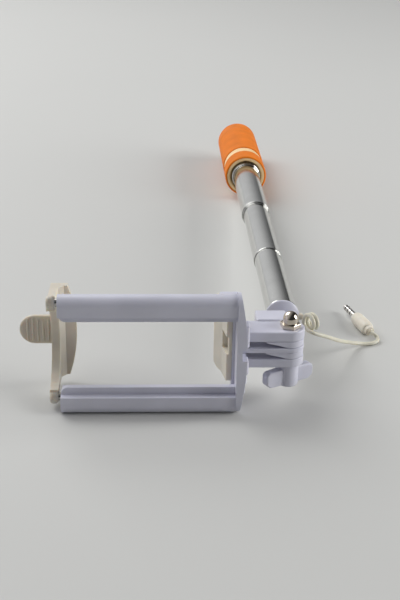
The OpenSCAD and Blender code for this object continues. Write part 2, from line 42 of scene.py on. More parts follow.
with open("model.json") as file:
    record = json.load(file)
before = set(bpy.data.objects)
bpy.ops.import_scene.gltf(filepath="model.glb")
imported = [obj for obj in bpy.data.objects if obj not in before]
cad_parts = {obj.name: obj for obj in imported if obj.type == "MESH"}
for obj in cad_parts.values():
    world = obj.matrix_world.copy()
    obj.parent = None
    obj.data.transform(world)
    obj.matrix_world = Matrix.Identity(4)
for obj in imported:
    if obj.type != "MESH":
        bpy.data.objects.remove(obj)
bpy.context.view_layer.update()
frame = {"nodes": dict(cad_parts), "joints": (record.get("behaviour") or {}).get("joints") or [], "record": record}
NODES = frame["nodes"]
RECORD = frame["record"]
BODY_OF = {node: body for body, nodes in RECORD["behaviour"]["bodies"].items() for node in nodes}
SLOT_OF = {row["node"]: row["material_slot"] for row in RECORD["subparts"]}
JOINTS = {joint["name"]: joint for joint in frame["joints"]}
MOUNTS = {mount["name"]: mount for mount in RECORD["mounts"]}
MM = 0.001
TURN = 2 * math.pi


def axes_frame(origin, along, up):
    """The frame at origin whose Y runs along and whose Z runs up, with its units in millimetres."""
    across = along.cross(up)
    turn = Matrix((across, along, up)).transposed().to_4x4()
    return Matrix.Translation(origin) @ turn @ Matrix.Scale(MM, 4)


BENCH = axes_frame(
    Vector(JOINTS["clamp_tilt"]["pos_m"]),
    Vector(JOINTS["first_section_slide"]["axis"]),
    Vector(JOINTS["clamp_tilt"]["axis"]),
)


def span(node):
    """Lowest and highest corner of a CAD node, in millimetres about the hinge bolt."""
    back = BENCH.inverted()
    points = [back @ vertex.co for vertex in NODES[node].data.vertices]
    low = Vector(min(p[i] for p in points) for i in range(3))
    high = Vector(max(p[i] for p in points) for i in range(3))
    return low, high


def reach(node, mount):
    """How far along a mount's axis a CAD node starts and ends, in millimetres from the mount."""
    origin, axis = Vector(mount["pos_m"]), Vector(mount["axis"])
    along = [(vertex.co - origin).dot(axis) / MM for vertex in NODES[node].data.vertices]
    return min(along), max(along)


def linear(hex_colour):
    """The linear colour of an sRGB hex value such as #C8C8D0."""
    parts = [int(hex_colour[i : i + 2], 16) / 255 for i in (1, 3, 5)]
    return [p / 12.92 if p <= 0.04045 else ((p + 0.055) / 1.055) ** 2.4 for p in parts]


def size_mm(name, default, description):
    """A length setting, in millimetres."""
    return FloatProperty(name=name, description=description, default=default, min=0.01)


def tint(name, hex_colour, description):
    """A colour setting, from its sRGB hex value."""
    return FloatVectorProperty(
        name=name, description=description, default=linear(hex_colour), subtype="COLOR", size=3, min=0, max=1
    )


# ---- Settings ----


class StickSizes(bpy.types.PropertyGroup):
    """Sizes that the CAD model leaves open, in millimetres unless said otherwise."""

    edge: size_mm("Edge radius", 0.45, "Rounding of the moulded parts' edges")
    bar_round: size_mm("Bar round", 5.1, "Radius of the bars' rounded outer side")
    bar_slope: FloatProperty(
        name="Bar slope", description="Slope of the bars' back", default=math.radians(25), subtype="ANGLE"
    )
    lip_height: size_mm("Lip height", 3.8, "Height of the lip along each bar")
    lip_thickness: size_mm("Lip thickness", 3.0, "Thickness of the lip along each bar")
    lip_setback: size_mm("Lip setback", 4.0, "How far the lip lies behind the bar's front")
    rim_out: size_mm("Bracket rim", 0.9, "How far the bracket stands out round the upper bar")
    rim_down: size_mm("Bracket drop", 0.4, "How far the bracket stays above the lower bar's underside")
    bow: size_mm("Bracket bow", 3.4, "How far the bracket's outer side bows out")
    plate_radius: size_mm("Plate radius", 7.2, "Radius of the hinge plates' round ends")
    top_plate: size_mm("Top plate", 5.2, "Thickness of the top hinge plate")
    middle_plate: size_mm("Middle plate", 2.4, "Thickness of the middle hinge plate")
    bottom_plate: size_mm("Bottom plate", 4.4, "Thickness of the bottom hinge plate")
    pass_gap: size_mm("Passing gap", 0.1, "Gap between faces that pass each other")
    bolt_bore: size_mm("Bolt bore", 2.55, "Radius of the bolt's bore")
    jaw_lip: size_mm("Jaw lip", 2.5, "Thickness of the jaws' lips and of the pull tab")
    hex_height: size_mm("Nut hexagon", 2.2, "Height of the dome nut's hexagon")
    hex_flats: size_mm("Nut flats", 9.2, "Width of the dome nut across its flats")
    dome_radius: size_mm("Nut dome", 3.8, "Radius of the dome nut's dome")
    disc_length: size_mm("Disc length", 2.5, "Length of the neck's disc")
    disc_bulge: size_mm("Disc bulge", 3.0, "How far the front of the neck's disc bulges")
    tube_wall: size_mm("Tube wall", 0.3, "Wall of each tube")
    roll: size_mm("Rolled lip", 0.9, "Length of the rolled lip at each tube's mouth")
    dimple_depth: size_mm("Dimple depth", 0.3, "Depth of the dimples that guide the tubes")
    dimple_radius: size_mm("Dimple radius", 1.4, "Radius of the dimples")
    foam: size_mm("Foam", 2.0, "Thickness of the grip's foam")
    groove_depth: size_mm("Groove depth", 0.8, "Depth of the groove between the ring and the sleeve")
    flange_step: size_mm("Flange step", 1.4, "How far the core's flange stays inside the grip's outer face")
    funnel: size_mm("Funnel", 2.2, "How far the funnel at the handle's mouth opens round the tube")
    funnel_length: size_mm("Funnel length", 4.0, "Length of the funnel at the handle's mouth")
    coil_turns: IntProperty(name="Curl turns", description="Turns of the curly lead", default=2, min=1)


class StickColours(bpy.types.PropertyGroup):
    """Colours of the finishes."""

    clamp: tint("Clamp", "#CFCFDC", "Lavender white plastic of the clamp")
    jaw: tint("Jaw", "#D6CFC0", "Translucent cream plastic of the jaws")
    chrome: tint("Chrome", "#DCDCD8", "Plated tubes")
    nickel: tint("Nickel", "#C9BFB2", "Nickel of the nut")
    foam: tint("Foam", "#E67A0A", "Orange foam of the grip")
    core: tint("Core", "#FFDCA6", "Cream plastic of the handle's core")
    lead: tint("Lead", "#DAD6C4", "Soft sheath of the lead")
    plug: tint("Plug", "#E6DFD0", "Moulded plug")
    floor: tint("Floor", "#CBCBC8", "Backdrop")


# ---- Modelling helpers ----


def deselect():
    """Leaves nothing selected."""
    bpy.ops.object.select_all(action="DESELECT")


def pick(piece):
    """Makes piece the only selected and the active object."""
    deselect()
    piece.select_set(True)
    bpy.context.view_layer.objects.active = piece


def added(name):
    """Names the primitive that was just added and puts its place into its mesh."""
    piece = bpy.context.object
    piece.name = name
    bpy.ops.object.transform_apply(location=True, rotation=True, scale=True)
    return piece


def block(name, low, high):
    """A box between two corners."""
    deselect()
    low, high = Vector(low), Vector(high)
    bpy.ops.mesh.primitive_cube_add(size=1, location=(low + high) / 2, scale=high - low)
    return added(name)


def bar_of(name, radius, start, end, sides=64):
    """A cylinder from start to end."""
    deselect()
    start, end = Vector(start), Vector(end)
    turn = (end - start).to_track_quat("Z", "Y").to_euler()
    bpy.ops.mesh.primitive_cylinder_add(
        vertices=sides, radius=radius, depth=(end - start).length, location=(start + end) / 2, rotation=turn
    )
    return added(name)


def ball(name, radius, centre, segments=48):
    """A sphere about centre."""
    deselect()
    bpy.ops.mesh.primitive_uv_sphere_add(
        segments=segments, ring_count=segments // 2, radius=radius, location=centre
    )
    return added(name)


def outline(name, points, closed=True):
    """A chain of edges through the points, extruded from one vertex, and left in edit mode."""
    deselect()
    bpy.ops.mesh.primitive_plane_add(size=1, location=points[0])
    piece = added(name)
    bpy.ops.object.mode_set(mode="EDIT")
    bpy.ops.mesh.select_mode(type="VERT")
    bpy.ops.mesh.select_all(action="SELECT")
    bpy.ops.mesh.merge(type="CENTER")
    for here, there in zip(points, points[1:]):
        step = Vector(there) - Vector(here)
        bpy.ops.mesh.extrude_region_move(TRANSFORM_OT_translate={"value": step})
    if closed:
        bpy.ops.mesh.select_all(action="DESELECT")
        bpy.ops.object.mode_set(mode="OBJECT")
        piece.data.vertices[0].select = True
        piece.data.vertices[-1].select = True
        bpy.ops.object.mode_set(mode="EDIT")
        bpy.ops.mesh.edge_face_add()
    bpy.ops.mesh.select_all(action="SELECT")
    return piece


def prism(name, points, depth):
    """The closed outline through points, drawn out by the vector depth."""
    piece = outline(name, points)
    bpy.ops.mesh.edge_face_add()
    bpy.ops.mesh.extrude_region_move(TRANSFORM_OT_translate={"value": Vector(depth)})
    bpy.ops.mesh.select_all(action="SELECT")
    bpy.ops.mesh.normals_make_consistent(inside=False)
    bpy.ops.object.mode_set(mode="OBJECT")
    return piece


def turned(name, profile, steps=96, closed=False):
    """A solid turned about Y from a profile of (distance along Y, radius)."""
    piece = outline(name, [(radius, along, 0) for along, radius in profile], closed)
    bpy.ops.mesh.spin(steps=steps, angle=TURN, center=(0, 0, 0), axis=(0, 1, 0))
    bpy.ops.mesh.select_all(action="SELECT")
    bpy.ops.mesh.remove_doubles(threshold=0.0005)
    bpy.ops.mesh.normals_make_consistent(inside=False)
    bpy.ops.object.mode_set(mode="OBJECT")
    return piece


def arc(centre, radius, first, last, count):
    """Points (u, v) round centre, from the angle first to last, in degrees."""
    angles = [math.radians(first + (last - first) * i / count) for i in range(count + 1)]
    return [(centre[0] + radius * math.cos(a), centre[1] + radius * math.sin(a)) for a in angles]


def bow_radius(half, rise):
    """The radius of an arc that rises by rise over a chord that is half long on each side."""
    return (half * half + rise * rise) / (2 * rise)


def apply_modifier(piece, kind, **settings):
    """Adds a modifier with its settings and applies it."""
    pick(piece)
    modifier = piece.modifiers.new(kind.title(), kind)
    for key, value in settings.items():
        setattr(modifier, key, value)
    bpy.ops.object.modifier_apply(modifier=modifier.name)


def combine(piece, tool, operation="UNION"):
    """Adds tool to piece, cuts it away or keeps what they share, and removes the tool."""
    apply_modifier(piece, "BOOLEAN", object=tool, operation=operation, solver="EXACT")
    bpy.data.objects.remove(tool)
    return piece


def cut(piece, tool):
    """Cuts tool away from piece."""
    return combine(piece, tool, "DIFFERENCE")


def rounded(piece, radius, segments=3, angle=35):
    """Rounds the edges that are sharper than angle."""
    apply_modifier(
        piece, "BEVEL", width=radius, segments=segments, limit_method="ANGLE",
        angle_limit=math.radians(angle), use_clamp_overlap=True, miter_outer="MITER_ARC",
    )
    return piece


def mirrored(piece, name):
    """A copy of piece with its own mesh, mirrored in the plane through the clamp's middle."""
    copy = piece.copy()
    copy.data = piece.data.copy()
    copy.name = name
    bpy.context.scene.collection.objects.link(copy)
    copy.data.transform(Matrix.Scale(-1, 4, (0, 0, 1)))
    copy.data.flip_normals()
    return copy


def smooth(piece, angle=40):
    """Smooth shading that keeps flat faces flat and sharp edges sharp."""
    pick(piece)
    bpy.ops.object.shade_smooth_by_angle(angle=math.radians(angle))
    apply_modifier(piece, "WEIGHTED_NORMAL", keep_sharp=True, weight=100)


def seat(piece, node, material, place=BENCH, angle=40):
    """Puts a finished piece where its CAD node is, which it stands for."""
    smooth(piece, angle)
    piece.data.transform(place)
    piece.data.materials.clear()
    piece.data.materials.append(material)
    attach(piece, BODY_OF[node])
    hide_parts(node)
    return piece


# ---- Finishes ----


def add(tree, kind, inputs=None, **settings):
    """Adds a node with its settings, and its inputs from values or from other nodes' sockets."""
    node = tree.nodes.new(kind)
    for key, value in settings.items():
        setattr(node, key, value)
    for key, value in (inputs or {}).items():
        if isinstance(value, bpy.types.NodeSocket):
            tree.links.new(value, node.inputs[key])
        else:
            node.inputs[key].default_value = value
    return node


def finish_of(name):
    """A new material with an empty node tree."""
    material = bpy.data.materials.new(name)
    material.use_nodes = True
    material.node_tree.nodes.clear()
    return material


def pattern_space(tree, stretch=(1, 1, 1)):
    """Object coordinates in millimetres, squeezed along each axis by stretch."""
    where = add(tree, "ShaderNodeTexCoord")
    scale = [1 / (MM * s) for s in stretch]
    mapping = add(tree, "ShaderNodeMapping", {"Vector": where.outputs["Object"], "Scale": scale})
    return mapping.outputs["Vector"]


def shade(tree, colour, shader, low=0.94, high=1.03, size=20, space=None):
    """Varies colour a little over patches of the given size in millimetres, and feeds shader with it."""
    space = space or pattern_space(tree)
    noise = add(tree, "ShaderNodeTexNoise", {"Vector": space, "Scale": 1 / size, "Detail": 3.0})
    level = add(
        tree, "ShaderNodeMapRange",
        {"Value": noise.outputs["Fac"], "From Min": 0.3, "From Max": 0.7, "To Min": low, "To Max": high},
    )
    mixed = add(tree, "ShaderNodeVectorMath", {0: tuple(colour)}, operation="SCALE")
    tree.links.new(level.outputs["Result"], mixed.inputs["Scale"])
    tree.links.new(mixed.outputs["Vector"], shader.inputs["Base Color"])
    return noise


def bump(tree, shader, height, strength, distance):
    """Bumps shader by height, with distance in millimetres."""
    node = add(tree, "ShaderNodeBump", {"Height": height, "Strength": strength, "Distance": distance * MM})
    tree.links.new(node.outputs["Normal"], shader.inputs["Normal"])


def uneven(tree, shader, value, low, high):
    """Roughness that follows value between low and high."""
    level = add(
        tree, "ShaderNodeMapRange",
        {"Value": value, "From Min": 0.3, "From Max": 0.7, "To Min": low, "To Max": high},
    )
    tree.links.new(level.outputs["Result"], shader.inputs["Roughness"])


def surface(tree, **inputs):
    """The principled shader with its own sockets set, joined to the output."""
    named = {key.replace("_", " "): value for key, value in inputs.items()}
    shader = add(tree, "ShaderNodeBsdfPrincipled", named)
    add(tree, "ShaderNodeOutputMaterial", {"Surface": shader.outputs["BSDF"]})
    return shader


def moulded(name, colour, roughness, grain, relief, glow=0.0, glow_depth=1.0, mottle=18):
    """Injection-moulded plastic: even colour, a faint orange peel and slight flow marks."""
    material = finish_of(name)
    tree = material.node_tree
    shader = surface(tree, Roughness=roughness, IOR=1.53)
    shader.inputs["Subsurface Weight"].default_value = glow
    shader.inputs["Subsurface Radius"].default_value = (1.0, 0.75, 0.5)
    shader.inputs["Subsurface Scale"].default_value = glow_depth * MM
    flow = shade(tree, colour, shader, size=mottle)
    uneven(tree, shader, flow.outputs["Fac"], roughness * 0.85, roughness * 1.2)
    peel = add(tree, "ShaderNodeTexNoise", {"Vector": pattern_space(tree), "Scale": 1 / grain, "Detail": 2.0})
    bump(tree, shader, peel.outputs["Fac"], relief, 0.05)
    return material


def plated(name, colour, roughness, draw=(1, 1, 1), line=0.25):
    """Plated or polished metal with faint draw lines, which stretch its highlights along the drawing."""
    material = finish_of(name)
    tree = material.node_tree
    shader = surface(tree, Metallic=1.0, Roughness=roughness)
    space = pattern_space(tree, draw)
    lines = add(tree, "ShaderNodeTexNoise", {"Vector": space, "Scale": 1 / line, "Detail": 4.0})
    shade(tree, colour, shader, 0.93, 1.0, 14)
    uneven(tree, shader, lines.outputs["Fac"], roughness * 0.7, roughness * 1.5)
    bump(tree, shader, lines.outputs["Fac"], 0.06, 0.02)
    return material


def foam(name, colour, cell, relief, roughness):
    """Closed-cell EVA foam: fine cut cells, soft sheen, colour varying a little in patches."""
    material = finish_of(name)
    tree = material.node_tree
    shader = surface(tree, Roughness=roughness, IOR=1.36)
    shader.inputs["Sheen Weight"].default_value = 0.03
    shader.inputs["Sheen Roughness"].default_value = 0.5
    shade(tree, colour, shader, 0.9, 1.05, 9)
    space = pattern_space(tree)
    cells = add(tree, "ShaderNodeTexVoronoi", {"Vector": space, "Scale": 1 / cell}, feature="SMOOTH_F1")
    speck = add(tree, "ShaderNodeTexNoise", {"Vector": space, "Scale": 1 / (cell * 3), "Detail": 5.0})
    heights = {0: cells.outputs["Distance"], 1: speck.outputs["Fac"]}
    both = add(tree, "ShaderNodeMath", heights, operation="ADD")
    bump(tree, shader, both.outputs["Value"], relief, 0.12)
    return material


def sheath(name, colour, roughness=0.42):
    """Extruded PVC: soft gloss, long faint draw marks and a slightly see-through skin."""
    material = finish_of(name)
    tree = material.node_tree
    shader = surface(tree, Roughness=roughness, IOR=1.52)
    shader.inputs["Subsurface Weight"].default_value = 0.25
    shader.inputs["Subsurface Radius"].default_value = (1.0, 0.8, 0.55)
    shader.inputs["Subsurface Scale"].default_value = 0.8 * MM
    marks = shade(tree, colour, shader, 0.92, 1.04, 4)
    bump(tree, shader, marks.outputs["Fac"], 0.12, 0.1)
    return material


def board_laminate(name, colour):
    """Solder-masked FR4: lacquer over a woven glass laminate, with the copper's tone showing through."""
    material = finish_of(name)
    tree = material.node_tree
    shader = surface(tree, Roughness=0.3, IOR=1.55)
    weave = add(tree, "ShaderNodeTexBrick", {"Vector": pattern_space(tree), "Scale": 0.8})
    weave.inputs["Color1"].default_value = (*colour, 1)
    weave.inputs["Color2"].default_value = (*(0.7 * part for part in colour), 1)
    weave.inputs["Mortar"].default_value = (*(1.4 * part for part in colour), 1)
    tree.links.new(weave.outputs["Color"], shader.inputs["Base Color"])
    bump(tree, shader, weave.outputs["Fac"], 0.2, 0.02)
    return material


# Each slot's maker, the finish's name, its colour (a setting's name or a hex value) and its settings
RECIPES = {
    # Satin moulding: soft even highlights on a faintly violet white
    "clamp_plastic": (moulded, "ABS, lavender white, satin moulded", "clamp",
                      dict(roughness=0.34, grain=0.5, relief=0.05, glow=0.06, glow_depth=1.0)),
    # Milky and see-through at thin edges, which glow while the thick middle stays dull
    "jaw_plastic": (moulded, "Polypropylene, cream, translucent", "jaw",
                    dict(roughness=0.4, grain=0.7, relief=0.1, glow=0.5, glow_depth=3.0, mottle=8)),
    # Bright mirror with faint lines along the tube from drawing
    "tube_chrome": (plated, "Chrome-plated steel tube, drawn", "chrome",
                    dict(roughness=0.13, draw=(1, 40, 1))),
    # Warm dark mirror with rings from turning
    "nut_nickel": (plated, "Nickel-plated brass, turned", "nickel", dict(roughness=0.07, draw=(1, 1, 12))),
    # Dull grey metal with long marks
    "steel": (plated, "Steel wire and screws, drawn", "#B5B3AE", dict(roughness=0.22, draw=(30, 1, 1))),
    # Waxy white with a matt skin
    "pom_white": (moulded, "Acetal, white, turned", "#EFEFEA",
                  dict(roughness=0.35, grain=0.4, relief=0.08, glow=0.2)),
    # Dry matt foam with fine pits and a soft bloom at its edges
    "grip_orange": (foam, "EVA foam, orange, fine skin", "foam",
                    dict(cell=0.35, relief=0.25, roughness=0.75)),
    # The same orange, tighter and a little glossier
    "cap_orange": (foam, "Rubber, orange, matt moulded", "foam",
                   dict(cell=0.25, relief=0.12, roughness=0.65)),
    # Warm cream with soft gloss
    "core_cream": (moulded, "ABS, cream, moulded", "core",
                   dict(roughness=0.4, grain=0.5, relief=0.05, glow=0.1)),
    # Soft rubbery gloss with faint marks along the lead
    "cord_cream": (sheath, "PVC sheath, ivory, extruded", "lead", dict(roughness=0.42)),
    # As the lead, a little duller from its mould
    "plug_cream": (sheath, "PVC, ivory, moulded plug", "plug", dict(roughness=0.45)),
    # Bright turned pin
    "plug_nickel": (plated, "Nickel-plated plug pin, turned", "#D3D0CA", dict(roughness=0.1, draw=(1, 8, 1))),
    # Black rings with a dull shine
    "insulator": (moulded, "Nylon, black, insulating rings", "#1C1C1C",
                  dict(roughness=0.45, grain=0.3, relief=0.05)),
    # Green lacquer over a faint weave
    "board_green": (board_laminate, "FR4, green solder mask", "#1E6B3C", {}),
    # Matt black moulding
    "switch_black": (moulded, "Phenolic, black, switch body", "#161616",
                     dict(roughness=0.5, grain=0.3, relief=0.08)),
    # Polished white with sharp highlights
    "button_white": (moulded, "ABS, white, polished button", "#E9E7E0",
                     dict(roughness=0.25, grain=0.5, relief=0.03)),
    # Dull soft grey that lets a little light in
    "silicone": (moulded, "Silicone, grey, moulded dome", "#8C8C8C",
                 dict(roughness=0.55, grain=0.4, relief=0.05, glow=0.3)),
}


def finish_for(node):
    """The finish of a node's material slot, made the first time that it is asked for."""
    maker, name, colour, settings = RECIPES[SLOT_OF[node]]
    if name not in bpy.data.materials:
        mixed = linear(colour) if colour.startswith("#") else getattr(bpy.context.scene.stick_colours, colour)
        maker(name, mixed, **settings)
    return bpy.data.materials[name]


# ---- Lead and plug ----

# The lead's route, repeated from the part's source: metres, before the model is centred
LEAD_ROUTE = [
    (0.0122, 0.0254, 0.0253), (0.0129, 0.0238, 0.0254), (0.0142, 0.0224, 0.0253), (0.0163, 0.0222, 0.0245),
    (0.0200, 0.0242, 0.0224), (0.0250, 0.0290, 0.0186), (0.0302, 0.0352, 0.0138), (0.0350, 0.0420, 0.0092),
    (0.0400, 0.0480, 0.0054), (0.0450, 0.0520, 0.0026), (0.0500, 0.0540, 0.0013), (0.0540, 0.0550, 0.0011),
    (0.0570, 0.0570, 0.0013), (0.0576, 0.0596, 0.0022), (0.0560, 0.0610, 0.0034), (0.0544, 0.0626, 0.00385),
]
# The stretch from the gland to the curl, in millimetres about the hinge bolt
STUB_ROUTE = [
    (10.6, 32.6, 0), (12.2, 32.8, -0.8), (13.6, 32.5, -2.2), (14.9, 31.2, -3.6), (15.8, 29.4, -4.2),
    (16.3, 28.1, -4.2),
]
# The curl: its near end, the turn of its axis from X, its length and its outer diameter
COIL_AT = (11.3, 25.7, -0.45)
COIL_TURN = 26
COIL_LENGTH = 6.6
COIL_D = 9.6
CORD_D = 2.1
# The plug's radius, and the pin's insulating rings: where each starts on the pin, their width and their core
PLUG_R = 3.85
RING_STARTS = (4, 7, 10)
RING_WIDTH = 0.8
RING_CORE_R = 1.1
# How far the part's own X and Y lie from the model's origin
CENTRE = Vector((BENCH.translation.x, BENCH.translation.y, 0))


def smooth_route(points, count):
    """Points of a smooth curve through the route's own points."""
    route = [Vector(p) for p in points]
    found = []
    for i in range(len(route) - 1):
        a, b = route[max(i - 1, 0)], route[i]
        c, d = route[i + 1], route[min(i + 2, len(route) - 1)]
        for k in range(count):
            t = k / count
            square = (2 * a - 5 * b + 4 * c - d) * t**2
            cube = (3 * b - a - 3 * c + d) * t**3
            found.append(0.5 * (2 * b + (c - a) * t + square + cube))
    return found + [route[-1]]


def curl_route(turns, count=40):
    """The curl's helix, from its far end to its near end, starting and ending at the bottom."""
    axis = Vector((math.cos(math.radians(COIL_TURN)), math.sin(math.radians(COIL_TURN)), 0))
    front = Vector((axis.y, -axis.x, 0))
    radius = (COIL_D - CORD_D) / 2
    first, last = COIL_LENGTH - CORD_D / 2, CORD_D / 2
    points = []
    for i in range(turns * count + 1):
        share = i / (turns * count)
        angle = TURN * turns * share
        middle = Vector(COIL_AT) + axis * (first + (last - first) * share)
        points.append(middle + radius * (math.sin(angle) * front - math.cos(angle) * Vector((0, 0, 1))))
    return points


class STICK_OT_lead(bpy.types.Operator):
    """Adds the curly lead from the neck to the plug"""

    bl_idname = "stick.lead"
    bl_label = "Lead"

    def execute(self, context):
        curl = curl_route(context.scene.stick_sizes.coil_turns)
        stub = smooth_route([*STUB_ROUTE[:-1], curl[0]], 8)
        route = [BENCH @ p for p in stub[:-1] + curl]
        lead = smooth_route([route[-1], *[Vector(p) + CENTRE for p in LEAD_ROUTE[1:]]], 8)
        route += lead[1:]
        data = bpy.data.curves.new("lead", "CURVE")
        data.dimensions = "3D"
        spline = data.splines.new("POLY")
        spline.points.add(len(route) - 1)
        for point, place in zip(spline.points, route):
            point.co = (*place, 1)
        data.bevel_depth = CORD_D / 2 * MM
        data.bevel_resolution = 4
        data.use_fill_caps = True
        piece = bpy.data.objects.new("lead", data)
        context.scene.collection.objects.link(piece)
        data.materials.append(finish_for("cord_lead"))
        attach(piece, BODY_OF["cord_lead"])
        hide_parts("cord_stub", "cord_coil", "cord_lead")
        return {"FINISHED"}


class STICK_OT_plug(bpy.types.Operator):
    """Adds the jack plug: its moulded body, strain relief and turned pin"""

    bl_idname = "stick.plug"
    bl_label = "Plug"

    def execute(self, context):
        pin = MOUNTS["jack_pin"]
        axis, length = Vector(pin["axis"]), pin["dims"]["length_mm"]
        rear = Vector(pin["pos_m"]) + axis * reach("plug_relief", pin)[0] * MM
        relief = reach("plug_body", pin)[0] - reach("plug_relief", pin)[0]
        body = reach("plug_body", pin)[1] - reach("plug_body", pin)[0]
        place = axes_frame(rear, axis, Vector((0, 0, 1)))
        r = PLUG_R
        shell = turned("plug_shell", [
            (relief, 0), (relief, 2.6), (relief + 0.3, 3.2), (relief + 1.2, 3.65), (relief + 3, r),
            (relief + 6, r),
            (relief + 6.3, r - 0.18), (relief + 6.9, r - 0.18), (relief + 7.2, r),
            (relief + body - 4.5, r - 0.05),
            (relief + body - 1.6, r - 0.4), (relief + body - 0.4, r - 1.0), (relief + body, 2.6),
            (relief + body, 0),
        ], 64)
        seat(shell, "plug_body", finish_for("plug_body"), place)
        boss = turned("plug_relief_boss", [
            (0, 0), (0, 1.25), (0.2, 1.5), (0.9, 1.55), (0.95, 2.3), (1.2, 2.6), (2.9, 2.7), (3.4, 2.7),
            (3.4, 0),
        ], 64)
        seat(boss, "plug_relief", finish_for("plug_relief"), place)
        y, r = relief + body, pin["dims"]["r_mm"]
        slots = [(y + d, y + d + RING_WIDTH) for d in RING_STARTS]
        profile = [(y, 0), (y, r - 0.15), (y + 0.15, r)]
        for start, end in slots:
            profile += [
                (start - 0.08, r), (start, r - 0.08), (start, RING_CORE_R), (end, RING_CORE_R),
                (end, r - 0.08),
                (end + 0.08, r),
            ]
        tip = y + length
        profile += [(tip - 2.9, r), (tip - 2.5, r - 0.35), (tip - 2.2, r - 0.38), (tip - 1.5, r - 0.15),
                    (tip - 1.2, r - 0.2), (tip - 0.3, 0.75), (tip, 0.4), (tip, 0)]
        seat(turned("plug_tip", profile, 64), "plug_pin", finish_for("plug_pin"), place, 30)
        return {"FINISHED"}


# ---- Phone clamp ----

# Sizes here are in millimetres
# How far a cutting tool reaches past what it cuts
PAST = 1
# Radii of a rod's way through a bar's end and of its bore in a boss, and of the seat for its screw
ROD_WAY_R = 2.3
ROD_BORE_R = 2.05
ROD_SEAT_R = 1.7
# The bracket: the slab that it is cut from, its middle's thickness, its back's depth and wall, its ledges'
# depth, and how far its back stays below the bars' top
SLAB_DEPTH = 8
BRACKET_DEPTH = 5
BACK_DEPTH = 5.5
BACK_WALL = 1.6
LEDGE_DEPTH = 7
BACK_DROP = 4.2
# Each ledge: its start from the bracket's root, its end from the bracket's front, and its two heights
LEDGES = [(3, 0.9, -9, -2), (3, 0.1, -14.2, -9.6), (2, -0.6, -19.6, -14.8)]
# The fixed jaw: its depth, half the width of its notch, and its screws' height and bore
FIXED_DEPTH = 7.9
NOTCH_HALF = 4.65
JAW_SCREW_Z = 12
JAW_SCREW_R = 0.9
# The sliding jaw: its depth, how far it stays inside the rods, its bow, and its saddle's inset and depth
JAW_DEPTH = 12.3
JAW_INSET = 0.7
JAW_BOW = 4
SADDLE_INSET = 4.3
SADDLE_DEPTH = 7
# The bosses over the rods, and the pull tab with its ridges
BOSS_R = 3.5
BOSS_LENGTH = 4.2
TAB_R = 7.75
RIDGES = 5
RIDGE_START = 3.6
RIDGE_PITCH = 2.6
RIDGE_WIDTH = 1.1
RIDGE_HEIGHT = 0.45
RIDGE_INSET = 1.6


def outer_round(front, middle, radius, slope):
    """A bar's rounded outer side as (y, z), from its sloping back round to its front, with its back's end."""
    points = arc((front + radius, middle), radius, 90 - math.degrees(slope), 180, 20)
    back = span("upper_bar")[1].y
    drop = (back - points[0][0]) * math.tan(slope)
    return [(back, points[0][1] - drop), *points]


def bar_piece(name, sizes):
    """The upper bar: a rounded section with a lip along its inner side, bored for its rod."""
    low, high = span("upper_bar")
    inner = low.z + sizes.lip_height
    round_points = outer_round(low.y, high.z - sizes.bar_round, sizes.bar_round, sizes.bar_slope)
    lip_y = low.y + sizes.lip_setback
    section = [
        (low.y, inner), (lip_y, inner), (lip_y, low.z), (lip_y + sizes.lip_thickness, low.z),
        (lip_y + sizes.lip_thickness, inner), (high.y, inner), *round_points,
    ]
    piece = prism(name, [(low.x, y, z) for y, z in section], (high.x - low.x, 0, 0))
    bpy.ops.object.mode_set(mode="EDIT")
    bpy.ops.mesh.select_mode(type="EDGE")
    bpy.ops.mesh.select_all(action="DESELECT")
    bpy.ops.object.mode_set(mode="OBJECT")
    for edge in piece.data.edges:
        ends = [piece.data.vertices[v].co for v in edge.vertices]
        edge.select = all(abs(p.x - low.x) < 0.01 and abs(p.z - low.z) < 0.01 for p in ends)
    bpy.ops.object.mode_set(mode="EDIT")
    bpy.ops.mesh.bevel(offset=sizes.lip_height * 0.96, segments=10, affect="EDGES")
    bpy.ops.object.mode_set(mode="OBJECT")
    rounded(piece, sizes.edge)
    bush_low, bush_high = span("upper_rod_bush")
    bore_r = (bush_high.z - bush_low.z) / 2
    y, z = (bush_low.y + bush_high.y) / 2, (bush_low.z + bush_high.z) / 2
    cut(piece, bar_of("bore", bore_r, (bush_low.x, y, z), (high.x + PAST, y, z), 48))
    cut(piece, bar_of("mouth", ROD_WAY_R, (low.x - PAST, y, z), (bush_low.x + 0.5, y, z), 48))
    return piece


class STICK_OT_bars(bpy.types.Operator):
    """Adds the clamp's two bars"""

    bl_idname = "stick.bars"
    bl_label = "Clamp bars"

    def execute(self, context):
        upper = bar_piece("upper_bar_moulding", context.scene.stick_sizes)
        lower = mirrored(upper, "lower_bar_moulding")
        seat(upper, "upper_bar", finish_for("upper_bar"))
        seat(lower, "lower_bar", finish_for("lower_bar"))
        return {"FINISHED"}


def hinge_levels(sizes):
    """Heights of the hinge plates, from the top one's top down to the bottom one's underside."""
    z_top, z_bot = span("dome_nut")[0].z, span("wing_knob")[1].z + sizes.pass_gap
    gap = (z_top - z_bot - sizes.top_plate - sizes.middle_plate - sizes.bottom_plate) / 2
    z_f1 = z_top - sizes.top_plate
    z_mid = z_f1 - gap
    z_f2 = z_mid - sizes.middle_plate
    return z_top, z_f1, z_mid, z_f2, z_f2 - gap, z_bot


def plate_points(radius, root_x, z):
    """A hinge plate's outline: round about the bolt and straight back to its root."""
    end = [(x, y, z) for x, y in arc((0, 0), radius, -90, 90, 32)]
    return [*end, (root_x, radius, z), (root_x, -radius, z)]


def plate(name, z0, z1, radius, root_x, edge):
    """A hinge plate between two heights, with rounded edges."""
    return rounded(prism(name, plate_points(radius, root_x, z0), (0, 0, z1 - z0)), edge)


